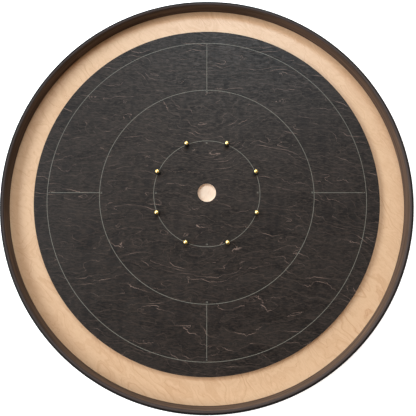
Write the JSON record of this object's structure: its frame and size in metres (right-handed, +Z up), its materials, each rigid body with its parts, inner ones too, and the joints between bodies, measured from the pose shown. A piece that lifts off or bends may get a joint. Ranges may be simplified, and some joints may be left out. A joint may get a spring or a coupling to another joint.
{
  "type": "crokinole board",
  "caption": "Round disc-flicking game board: raised dark deck with a shallow centre hole and a ring of sleeved pegs, a pale ditch round it and a bent wooden rail.",
  "frame": {"origin": "on the table top, under the middle of the board", "axes": "+Z up, square to the playing surface; +X and +Y along two of the four scoring lines, halfway between pegs"},
  "size_m": [0.778, 0.778, 0.051],
  "materials": {
    "maple": "satin lacquered maple plywood",
    "stained_core": "black-stained plywood edge, satin",
    "black_veneer": "black-stained maple veneer, satin lacquer",
    "stained_rail": "dark-stained bent wood, satin lacquer",
    "brass": "polished",
    "sleeve_rubber": "matt black",
    "foot_rubber": "matt black, finely textured",
    "zinc_steel": "zinc plated",
    "black_steel": "black oxide"
  },
  "bodies": {
    "root": {"base_board": "maple", "deck_core": "stained_core", "deck_veneer": "black_veneer", "rail_inner_ply": "stained_rail", "rail_outer_ply": "stained_rail", "peg_sleeve_1": "sleeve_rubber", "peg_sleeve_2": "sleeve_rubber", "peg_sleeve_3": "sleeve_rubber", "peg_sleeve_4": "sleeve_rubber", "peg_sleeve_5": "sleeve_rubber", "peg_sleeve_6": "sleeve_rubber", "peg_sleeve_7": "sleeve_rubber", "peg_sleeve_8": "sleeve_rubber", "peg_screw_1": "brass", "peg_screw_2": "brass", "peg_screw_3": "brass", "peg_screw_4": "brass", "peg_screw_5": "brass", "peg_screw_6": "brass", "peg_screw_7": "brass", "peg_screw_8": "brass", "deck_screw_1": "zinc_steel", "deck_screw_2": "zinc_steel", "deck_screw_3": "zinc_steel", "deck_screw_4": "zinc_steel", "deck_screw_5": "zinc_steel", "deck_screw_6": "zinc_steel", "rail_screw_1": "black_steel", "rail_screw_2": "black_steel", "rail_screw_3": "black_steel", "rail_screw_4": "black_steel", "rail_screw_5": "black_steel", "rail_screw_6": "black_steel", "rail_screw_7": "black_steel", "rail_screw_8": "black_steel", "foot_1": "foot_rubber", "foot_2": "foot_rubber", "foot_3": "foot_rubber", "foot_4": "foot_rubber", "foot_screw_1": "zinc_steel", "foot_screw_2": "zinc_steel", "foot_screw_3": "zinc_steel", "foot_screw_4": "zinc_steel"}
  },
  "joints": []
}
